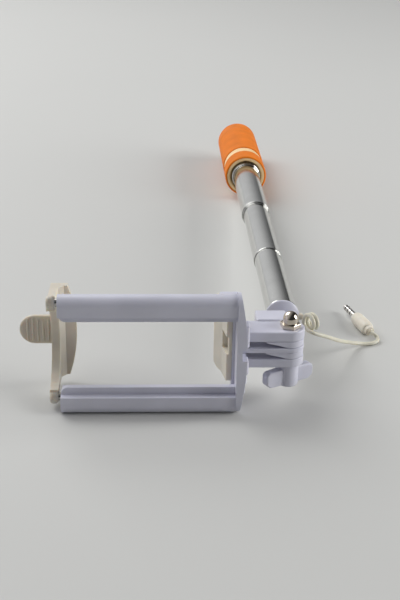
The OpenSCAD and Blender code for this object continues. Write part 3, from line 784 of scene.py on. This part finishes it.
class STICK_OT_bracket(bpy.types.Operator):
    """Adds the bracket that joins the bars to the hinge"""

    bl_idname = "stick.bracket"
    bl_label = "Hinge bracket"

    def execute(self, context):
        sizes = context.scene.stick_sizes
        bar_low, bar_high = span("upper_bar")
        jaw_top = span("fixed_jaw")[1].z
        root, y0, y1 = bar_high.x, bar_low.y, bar_high.y
        z_top, z_f1, z_mid, z_f2, z_low, z_bot = hinge_levels(sizes)
        fork = root + BRACKET_DEPTH
        round_r, middle = sizes.bar_round + sizes.rim_out, bar_high.z - sizes.bar_round
        front = y0 - sizes.rim_out
        upper = outer_round(front, middle, round_r, sizes.bar_slope)
        lower = outer_round(front, middle - sizes.rim_out - sizes.rim_down, round_r, sizes.bar_slope)
        section = upper + [(y, -z) for y, z in reversed(lower)]
        slab = prism("hinge_bracket_moulding", [(root, y, z) for y, z in section], (SLAB_DEPTH, 0, 0))
        half = bar_high.z + sizes.rim_out
        bow_r = bow_radius(half, sizes.bow)
        swing = math.degrees(math.asin(half / bow_r))
        inner, start = root - PAST, front - PAST
        bowed = [(fork - bow_r + x, start, z) for x, z in arc((0, 0), bow_r, -swing, swing, 40)]
        chord = [(inner, start, half), (inner, start, -half)]
        bow = prism("bow", [*chord, *bowed], (0, y1 - front + 2 * PAST, 0))
        combine(slab, bow, "INTERSECT")
        rounded(slab, sizes.edge * 0.8)
        flange = bar_high.z - BACK_DROP
        blocks = [
            block("back", (root - 1.4, y1 - 0.4, -flange), (root + BACK_WALL, y1 + BACK_DEPTH, flange)),
            block("upper_flange", (root - 8, y1, jaw_top + 0.3), (root + BACK_WALL, y1 + BACK_DEPTH, flange)),
            block("tab", (-16, 6.0, z_f1), (-0.5, 18, z_top + 0.8)),
            block("shoulder", (root + 3, y0, z_f1 + 1), (fork + 0.9, y0 + LEDGE_DEPTH, 17)),
        ]
        for first, last, z0, z1 in LEDGES:
            blocks.append(block("ledge", (root + first, y0, z0), (fork + last, y0 + LEDGE_DEPTH, z1)))
        for piece in blocks:
            combine(slab, rounded(piece, sizes.edge * 2))
        plates = [("top", z_f1, z_top, 0.7), ("middle", z_f2, z_mid, 0.4), ("bottom", z_bot, z_low, 0.5)]
        for name, z0, z1, edge in plates:
            combine(slab, plate(name, z0, z1, sizes.plate_radius, root + 1, edge))
        cut(slab, bar_of("bolt_bore", sizes.bolt_bore, (0, 0, z_bot - PAST), (0, 0, z_top + PAST), 48))
        cut(slab, block("notch", (root + 2.6, start, -1.4), (0, -7.8, z_f1 + 0.4)))
        seat(slab, "hinge_bracket", finish_for("hinge_bracket"))
        return {"FINISHED"}


class STICK_OT_fixed_jaw(bpy.types.Operator):
    """Adds the jaw that is screwed to the bracket"""

    bl_idname = "stick.fixed_jaw"
    bl_label = "Fixed jaw"

    def execute(self, context):
        low, high = span("fixed_jaw")
        x, y0, y1, half = high.x, low.y, high.y, high.z
        lip, back = y1 - context.scene.stick_sizes.jaw_lip, x - FIXED_DEPTH
        plan = [(x, y0), (x - 2.7, y0), (x - 4.5, y0 + 10), (back, lip), (back, y1), (x, y1)]
        jaw = prism("fixed_jaw_moulding", [(u, v, -half) for u, v in plan], (0, 0, 2 * half))
        face = [
            (x + 1, -half), (x - 6.5, -half), (x - 8, 1.5 - half), (x - 8, half - 1.5), (x - 6.5, half),
            (x + 1, half),
        ]
        corners = prism("corners", [(u, y0 - PAST, w) for u, w in face], (0, y1 - y0 + 2 * PAST, 0))
        combine(jaw, corners, "INTERSECT")
        rounded(jaw, 0.6)
        cut(jaw, block("notch", (x - 6, y0 - PAST, -NOTCH_HALF), (x - 1.6, y0 + 9, NOTCH_HALF)))
        for z in (-JAW_SCREW_Z, JAW_SCREW_Z):
            cut(jaw, bar_of("screw_bore", JAW_SCREW_R, (x - 2.2, y0 + 3.5, z), (x + PAST, y0 + 3.5, z), 24))
        seat(jaw, "fixed_jaw", finish_for("fixed_jaw"))
        return {"FINISHED"}


class STICK_OT_sliding_jaw(bpy.types.Operator):
    """Adds the sprung jaw: a saddle between the rods, with a ridged pull tab"""

    bl_idname = "stick.sliding_jaw"
    bl_label = "Sliding jaw"

    def execute(self, context):
        sizes = context.scene.stick_sizes
        low, high = span("sliding_jaw")
        rod_low, rod_high = span("upper_rod")
        rod_y, rod_z = (rod_low.y + rod_high.y) / 2, (rod_low.z + rod_high.z) / 2
        x, back, half = high.x - JAW_DEPTH, high.y, rod_z - JAW_INSET
        wall, lip = x + BOSS_LENGTH, back - sizes.jaw_lip
        plan = [
            (x, rod_y - 1), (wall, rod_y - 1), (wall, lip - 4), (wall + 2.5, lip - 1), (high.x, lip),
            (high.x, back), (x, back),
        ]
        jaw = prism("sliding_jaw_moulding", [(u, v, -half) for u, v in plan], (0, 0, 2 * half))
        bow_r = bow_radius(half, JAW_BOW)
        centre = high.x - bow_r
        combine(jaw, bar_of("bowed", bow_r, (centre, rod_y - 2, 0), (centre, back + 2, 0), 256), "INTERSECT")
        saddle_y = back - SADDLE_DEPTH
        saddle_r = bow_radius(rod_z - SADDLE_INSET, saddle_y - rod_y)
        centre = saddle_y - saddle_r
        cut(jaw, bar_of("saddle", saddle_r, (x - PAST, centre, 0), (high.x + PAST, centre, 0), 256))
        rounded(jaw, 1.2, 5)
        tab_points = [(u, lip, w) for u, w in arc((low.x + TAB_R, 0), TAB_R, 90, 270, 32)]
        tab = prism("tab", [*tab_points, (x + 2, lip, -TAB_R), (x + 2, lip, TAB_R)], (0, back - lip, 0))
        combine(jaw, rounded(tab, 0.8, 4))
        ridge_z = TAB_R - RIDGE_INSET
        for i in range(RIDGES):
            at = low.x + RIDGE_START + RIDGE_PITCH * i
            ridge = block("ridge", (at, lip - RIDGE_HEIGHT, -ridge_z), (at + RIDGE_WIDTH, lip + 1, ridge_z))
            combine(jaw, rounded(ridge, 0.4))
        for z in (-rod_z, rod_z):
            combine(jaw, rounded(bar_of("boss", BOSS_R, (x, rod_y, z), (wall, rod_y, z), 64), 1.5, 6))
            cut(jaw, bar_of("rod_bore", ROD_BORE_R, (x + 1.6, rod_y, z), (x + 6, rod_y, z), 48))
            cut(jaw, bar_of("screw_seat", ROD_SEAT_R, (x - PAST, rod_y, z), (x + PAST, rod_y, z), 48))
        seat(jaw, "sliding_jaw", finish_for("sliding_jaw"))
        return {"FINISHED"}


# ---- Hinge ----

# Turns of the nut and of the wings about the bolt, in degrees, as they were left when tightened
NUT_TURN = 12
WING_TURN = 29
# The wing knob: its hub's radius, how far its wings reach and their thickness
HUB_R = 5.15
WING_REACH = 14
WING_THICKNESS = 5
# The neck block: its fingers' radius, and the spigot that fills the tube's front
FINGER_R = 7.0
SPIGOT_R = 7.3
SPIGOT_LENGTH = 13
# Radius of the way for the lead's wire
WIRE_WAY_R = 1.1


class STICK_OT_dome_nut(bpy.types.Operator):
    """Adds the dome nut on top of the hinge"""

    bl_idname = "stick.dome_nut"
    bl_label = "Dome nut"

    def execute(self, context):
        sizes = context.scene.stick_sizes
        low, high = span("dome_nut")
        corner = sizes.hex_flats / 2 / math.cos(math.pi / 6)
        hexagon = bar_of("dome_nut_turning", corner, (0, 0, low.z), (0, 0, low.z + sizes.hex_height), 6)
        pick(hexagon)
        hexagon.data.transform(Matrix.Rotation(math.radians(NUT_TURN), 4, "Z"))
        rounded(hexagon, 0.3)
        centre = high.z - sizes.dome_radius - 0.2
        combine(hexagon, bar_of("neck", sizes.dome_radius, (0, 0, low.z + 1), (0, 0, centre), 96))
        combine(hexagon, ball("dome", sizes.dome_radius, (0, 0, centre), 96))
        cut(hexagon, bar_of("bore", sizes.bolt_bore, (0, 0, low.z - PAST), (0, 0, centre), 48))
        seat(hexagon, "dome_nut", finish_for("dome_nut"))
        return {"FINISHED"}


class STICK_OT_wing_knob(bpy.types.Operator):
    """Adds the wing knob under the hinge"""

    bl_idname = "stick.wing_knob"
    bl_label = "Wing knob"

    def execute(self, context):
        low, high = span("wing_knob")
        top, base, far = high.z, low.z, WING_REACH
        hub = rounded(bar_of("wing_knob_moulding", HUB_R, (0, 0, base), (0, 0, top), 96), 0.9, 5)
        side = [
            (-far, base + 2.6), (-far, top - 4.4), (1.6 - far, top - 3.2), (-4, top - 2.6), (4, top - 2.6),
            (far - 1.6, top - 3.2), (far, top - 4.4), (far, base + 2.6), (far - 2.6, base + 0.6),
            (2.6 - far, base + 0.6),
        ]
        wings = prism("wings", [(x, -WING_THICKNESS / 2, z) for x, z in side], (0, WING_THICKNESS, 0))
        rounded(wings, 1.0, 4, 25)
        wings.data.transform(Matrix.Rotation(math.radians(WING_TURN), 4, "Z"))
        combine(hub, wings)
        seat(hub, "wing_knob", finish_for("wing_knob"))
        return {"FINISHED"}


class STICK_OT_neck(bpy.types.Operator):
    """Adds the neck block: two fingers in the hinge, a stem and the disc that closes the tube"""

    bl_idname = "stick.neck"
    bl_label = "Neck block"

    def execute(self, context):
        sizes = context.scene.stick_sizes
        disc_r = span("neck_block")[1].x
        y_c = span("tube_c")[0].y
        neck_y = y_c - sizes.disc_length
        z_top, z_f1, z_mid, z_f2, z_low = hinge_levels(sizes)[:5]
        gap, bulge = sizes.pass_gap, sizes.disc_bulge
        dome_r = bow_radius(disc_r, bulge)
        first = math.degrees(math.asin((disc_r - 0.4) / dome_r))
        crown = arc((neck_y + 1 - bulge + dome_r, 0), dome_r, 180, 180 - first, 16)
        end = y_c + SPIGOT_LENGTH
        disc = turned("neck_block_moulding", [
            *crown, (neck_y + 1.1, disc_r), (y_c - 0.3, disc_r), (y_c, disc_r - 0.3), (y_c, SPIGOT_R),
            (end - 0.4, SPIGOT_R), (end, SPIGOT_R - 0.4), (end, 0),
        ])
        stem = block("stem", (-6.5, 17, z_low + gap), (6.5, neck_y + 1, z_f1 - gap))
        combine(disc, rounded(stem, 0.9, 4))
        for z0, z1 in ((z_mid + gap, z_f1 - gap), (z_low + gap, z_f2 - gap)):
            front = [(x, y, z0) for x, y in arc((0, 0), FINGER_R, -180, 0, 32)]
            root = [(x, y, z0) for x, y in ((FINGER_R, 7), (6.5, 18), (-6.5, 18), (-FINGER_R, 7))]
            combine(disc, rounded(prism("finger", front + root, (0, 0, z1 - z0)), 0.35))
            ramp = [(-12.0, z1), (-12.0, z1 - 0.5), (-1, z0 + 0.1), (-1, z1)]
            combine(disc, prism("ramp", [(x, -6.8, z) for x, z in ramp], (0, 11, 0)))
        cut(disc, bar_of("bolt_bore", sizes.bolt_bore, (0, 0, z_low - PAST), (0, 0, z_top), 48))
        wire_y = STUB_ROUTE[0][1]
        cut(disc, bar_of("wire_way", WIRE_WAY_R, (0, wire_y, 0), (disc_r + PAST, wire_y, 0), 32))
        seat(disc, "neck_block", finish_for("neck_block"))
        return {"FINISHED"}


# ---- Telescopic tube ----

# How far the wall lies inside the rolled mouth, and the dimples' distance from the mouth, in millimetres
MOUTH_STEP = 0.1
DIMPLE_AT = 5.2
# Rings of vertices across the dimples, and the distance between two
DIMPLE_RINGS = 11
RING_STEP = 0.32


def dimpled(piece, radius, at_y, sizes, first=30):
    """Presses three dimples into the tube near its mouth."""
    for i in range(3):
        angle = math.radians(first + 120 * i)
        spot = Vector((radius * math.cos(angle), at_y, radius * math.sin(angle)))
        inward = -Vector((math.cos(angle), 0, math.sin(angle)))
        for vertex in piece.data.vertices:
            away = (vertex.co - spot).length / sizes.dimple_radius
            if away < 1:
                vertex.co += inward * sizes.dimple_depth * (math.cos(away * math.pi) + 1) / 2
    return piece


def tube_piece(name, node, sizes):
    """A drawn tube with a rolled mouth, and fine rings where the dimples are pressed."""
    low, high = span(node)
    r, wall, roll = high.x, sizes.tube_wall, sizes.roll
    body_r, bore_r = r - MOUTH_STEP, r - wall
    mouth = r - wall - 0.12
    spot = low.y + DIMPLE_AT
    rings = [spot - RING_STEP * (DIMPLE_RINGS - 1) / 2 + RING_STEP * i for i in range(DIMPLE_RINGS)]
    outer = [
        (low.y, mouth + 0.1), (low.y + 0.12, r - 0.12), (low.y + 0.4, r), (low.y + roll, r),
        (low.y + roll + 0.25, body_r), *[(y, body_r) for y in rings], (spot + 4, body_r),
        (high.y - 0.1, body_r), (high.y, body_r - 0.05),
    ]
    inner = [
        (high.y, bore_r), *[(y, bore_r) for y in reversed(rings)], (low.y + 1.6, bore_r),
        (low.y + 1.1, mouth), (low.y + 0.1, mouth),
    ]
    piece = turned(name, outer + inner, 144, closed=True)
    return dimpled(piece, body_r, spot, sizes)


class STICK_OT_tubes(bpy.types.Operator):
    """Adds the five tubes of the stick"""

    bl_idname = "stick.tubes"
    bl_label = "Tubes"

    def execute(self, context):
        sizes = context.scene.stick_sizes
        for node in ("tube_b", "tube_m", "tube_a", "tube_o"):
            seat(tube_piece(node + "_drawn", node, sizes), node, finish_for(node))
        low, high = span("tube_c")
        r, wall = high.x, sizes.tube_wall
        rim = span("neck_block")[1].x
        profile = [
            (low.y, r - wall), (low.y, rim - 0.3), (low.y + 0.12, rim - 0.05), (low.y + 0.45, rim),
            (low.y + 0.8, rim - 0.25), (low.y + 1.2, r + 0.3), (low.y + 1.9, r), (high.y, r),
            (high.y, r - wall),
        ]
        seat(turned("tube_c_drawn", profile, 144, closed=True), "tube_c", finish_for("tube_c"))
        return {"FINISHED"}


# ---- Handle ----

# The core's rear wall and the hole in it, and the hole for the button in the sleeve, in millimetres
REAR_WALL = 4
REAR_HOLE_R = 5.02
BUTTON_HOLE_R = 4.3
# The rear cap's sunk seat and bore for its screw
SCREW_SEAT_R = 3.2
SCREW_BORE_R = 1.6
# The clearance of a push fit
PUSH_FIT = 0.02


class STICK_OT_handle(bpy.types.Operator):
    """Adds the handle: its core, ring, sleeve, rear cap and the collar at its mouth"""

    bl_idname = "stick.handle"
    bl_label = "Handle"

    def execute(self, context):
        sizes = context.scene.stick_sizes
        core_low, core_high = span("handle_core")
        ring_end, r = span("grip_ring")[1].y, span("grip_ring")[1].x
        sleeve_low, sleeve_high = span("grip_sleeve")
        cap_low, cap_high = span("end_cap")
        tube_r = span("tube_o")[1].x
        y, end = core_low.y, core_high.y
        core_r = r - sizes.foam
        groove_r, flange_r = r - sizes.groove_depth, r - sizes.flange_step
        bore = tube_r + PUSH_FIT
        funnel_r = bore + sizes.funnel
        core = turned("handle_core_moulding", [
            (y + sizes.funnel_length, bore), (y + 0.35, funnel_r - 0.35), (y + 0.1, funnel_r - 0.1),
            (y, funnel_r + 0.2), (y, flange_r - 0.3), (y + 0.3, flange_r), (y + 1, flange_r), (y + 1, core_r),
            (ring_end, core_r), (ring_end, groove_r), (sleeve_low.y, groove_r), (sleeve_low.y, core_r),
            (end, core_r), (end, REAR_HOLE_R), (end - REAR_WALL, REAR_HOLE_R), (end - REAR_WALL, bore),
        ], closed=True)
        bay_low, bay_high = span("circuit_board")
        cut(core, block("bay", (-5, bay_low.y - 1, -core_r - PAST), (5, bay_high.y + 1, bay_high.z)))
        seat(core, "handle_core", finish_for("handle_core"))
        lap = flange_r + PUSH_FIT
        ring = turned("grip_ring_foam", [
            (y + 1 + PUSH_FIT, core_r), (y + 1 + PUSH_FIT, lap), (y + 0.2, lap), (y, flange_r + 0.25),
            (y, r - 0.9), (y + 0.2, r - 0.45), (y + 0.6, r - 0.12), (y + 1.2, r), (ring_end - 0.9, r),
            (ring_end - 0.25, r - 0.25), (ring_end, r - 0.8), (ring_end, core_r),
        ], closed=True)
        seat(ring, "grip_ring", finish_for("grip_ring"))
        sleeve = turned("grip_sleeve_foam", [
            (sleeve_low.y, core_r), (sleeve_low.y, r - 0.8), (sleeve_low.y + 0.25, r - 0.25),
            (sleeve_low.y + 0.9, r),
            (sleeve_high.y - 0.5, r), (sleeve_high.y - 0.12, r - 0.15), (sleeve_high.y, r - 0.5),
            (sleeve_high.y, core_r),
        ], closed=True)
        button_low, button_high = span("shutter_button")
        button_y = (button_low.y + button_high.y) / 2
        cut(sleeve, bar_of("button_hole", BUTTON_HOLE_R, (0, button_y, -r - PAST), (0, button_y, -6), 64))
        seat(sleeve, "grip_sleeve", finish_for("grip_sleeve"))
        y0, y1 = cap_low.y, cap_high.y
        cap = turned("end_cap_moulding", [
            (y0, core_r), (y0, r - 0.5), (y0 + 0.12, r - 0.15), (y0 + 0.5, r), (y1 - 2.2, r),
            (y1 - 1.3, r - 0.18),
            (y1 - 0.5, r - 0.65), (y1 - 0.1, r - 1.4), (y1, r - 2.2), (y1, SCREW_SEAT_R + 0.4),
            (y1 - 0.2, SCREW_SEAT_R), (y1 - 1.5, SCREW_SEAT_R), (y1 - 1.5, SCREW_BORE_R),
            (y0 + 5, SCREW_BORE_R),
            (y0 + 5, core_r),
        ], closed=True)
        seat(cap, "end_cap", finish_for("end_cap"))
        low, high = span("mouth_collar")
        collar = turned("mouth_collar_bead", [
            (low.y, tube_r + 0.03), (low.y, high.x - 0.5), (low.y + 0.15, high.x - 0.3),
            (low.y + 0.4, high.x - 0.25),
            (high.y - 0.3, high.x - 0.25), (high.y, high.x - 0.4), (high.y, tube_r + 0.03),
        ], closed=True)
        seat(collar, "mouth_collar", finish_for("mouth_collar"))
        return {"FINISHED"}


class STICK_OT_inner_parts(bpy.types.Operator):
    """Gives each CAD part that stays on show its finish"""

    bl_idname = "stick.inner_parts"
    bl_label = "Inner parts"

    def execute(self, context):
        for name, node in NODES.items():
            if not node.hide_render:
                node.data.materials.clear()
                node.data.materials.append(finish_for(name))
        return {"FINISHED"}


# ---- Stage ----


# The camera's place in millimetres about the hinge bolt, and its angles in degrees
CAMERA_AT = (-65.18, -467.02, 229.26)
CAMERA_PITCH = 23.74
CAMERA_HEADING = 2.54
CAMERA_ROLL = 1.0
CAMERA_LENS = 63.5
# The sky's strength where it is dim and where it is bright
SKY_DIM = 0.04
SKY_BRIGHT = 0.68


def sky():
    """A studio that is bright at the left and behind, and dim at the right and in front."""
    world = bpy.data.worlds.new("Studio")
    world.use_nodes = True
    tree = world.node_tree
    way = add(tree, "ShaderNodeTexCoord").outputs["Generated"]
    lit = add(tree, "ShaderNodeVectorMath", {0: way, 1: (-0.85, 0.4, 0.3)}, operation="DOT_PRODUCT")
    limits = {"From Min": -0.1, "From Max": 0.75, "To Min": SKY_DIM, "To Max": SKY_BRIGHT}
    level = add(
        tree, "ShaderNodeMapRange", {"Value": lit.outputs["Value"], **limits}, interpolation_type="SMOOTHSTEP"
    )
    back = tree.nodes["Background"]
    back.inputs["Color"].default_value = (*linear("#F4F5F8"), 1)
    tree.links.new(level.outputs["Result"], back.inputs["Strength"])
    return world


# Each lamp's name, place, target, width in metres and power in watts
LAMPS = [
    ("key", (-0.75, 0.75, 1.1), (0.0, 0.1, 0.0), 1.2, 16),
    ("side", (1.5, -0.25, 0.6), (0.0, -0.1, 0.0), 1.0, 22),
]


class STICK_OT_stage(bpy.types.Operator):
    """Adds the floor, the lights and the camera"""

    bl_idname = "stick.stage"
    bl_label = "Stage"

    def execute(self, context):
        colours = context.scene.stick_colours
        deselect()
        bpy.ops.mesh.primitive_plane_add(size=12, location=(0, 3, 0))
        floor = added("floor")
        # Matt paint: even pale grey with no visible shine
        material = finish_of("Painted backdrop, matt")
        shader = surface(material.node_tree, Roughness=0.55, IOR=1.4)
        shade(material.node_tree, colours.floor, shader, 0.99, 1.01, 400)
        floor.data.materials.append(material)
        context.scene.view_settings.view_transform = "Standard"
        context.scene.world = sky()
        for name, place, target, width, power in LAMPS:
            lamp = bpy.data.lights.new(name, "AREA")
            lamp.shape = "SQUARE"
            lamp.size = width
            lamp.energy = power
            holder = bpy.data.objects.new(name, lamp)
            holder.location = place
            holder.rotation_euler = (Vector(target) - Vector(place)).to_track_quat("-Z", "Y").to_euler()
            context.scene.collection.objects.link(holder)
        camera = bpy.data.cameras.new("camera")
        camera.lens = CAMERA_LENS
        holder = bpy.data.objects.new("camera", camera)
        turn = BENCH.to_quaternion().to_matrix().to_4x4()
        turn @= Matrix.Rotation(math.radians(-CAMERA_HEADING), 4, "Z")
        turn @= Matrix.Rotation(math.radians(90 - CAMERA_PITCH), 4, "X")
        turn @= Matrix.Rotation(math.radians(CAMERA_ROLL), 4, "Z")
        holder.matrix_world = Matrix.Translation(BENCH @ Vector(CAMERA_AT)) @ turn
        context.scene.collection.objects.link(holder)
        context.scene.camera = holder
        return {"FINISHED"}


# ---- Add-on ----

STEPS = [
    STICK_OT_stage, STICK_OT_plug, STICK_OT_lead, STICK_OT_bars, STICK_OT_bracket, STICK_OT_fixed_jaw,
    STICK_OT_sliding_jaw, STICK_OT_dome_nut, STICK_OT_wing_knob, STICK_OT_neck, STICK_OT_tubes,
    STICK_OT_handle, STICK_OT_inner_parts,
]


class STICK_PT_panel(bpy.types.Panel):
    """Lists the stick's settings and its pieces"""

    bl_label = "Selfie stick"
    bl_idname = "STICK_PT_panel"
    bl_space_type = "VIEW_3D"
    bl_region_type = "UI"
    bl_category = "Selfie stick"

    def draw(self, context):
        for group in (context.scene.stick_sizes, context.scene.stick_colours):
            for key in group.__annotations__:
                self.layout.prop(group, key)
        for step in STEPS:
            self.layout.operator(step.bl_idname)


CLASSES = [StickSizes, StickColours, *STEPS, STICK_PT_panel]


def register():
    for item in CLASSES:
        bpy.utils.register_class(item)
    bpy.types.Scene.stick_sizes = PointerProperty(type=StickSizes)
    bpy.types.Scene.stick_colours = PointerProperty(type=StickColours)


def unregister():
    del bpy.types.Scene.stick_sizes
    del bpy.types.Scene.stick_colours
    for item in reversed(CLASSES):
        bpy.utils.unregister_class(item)


def main():
    """Builds every piece in order."""
    register()
    for step in STEPS:
        group, name = step.bl_idname.split(".")
        getattr(getattr(bpy.ops, group), name)()


if __name__ == "__main__":
    main()
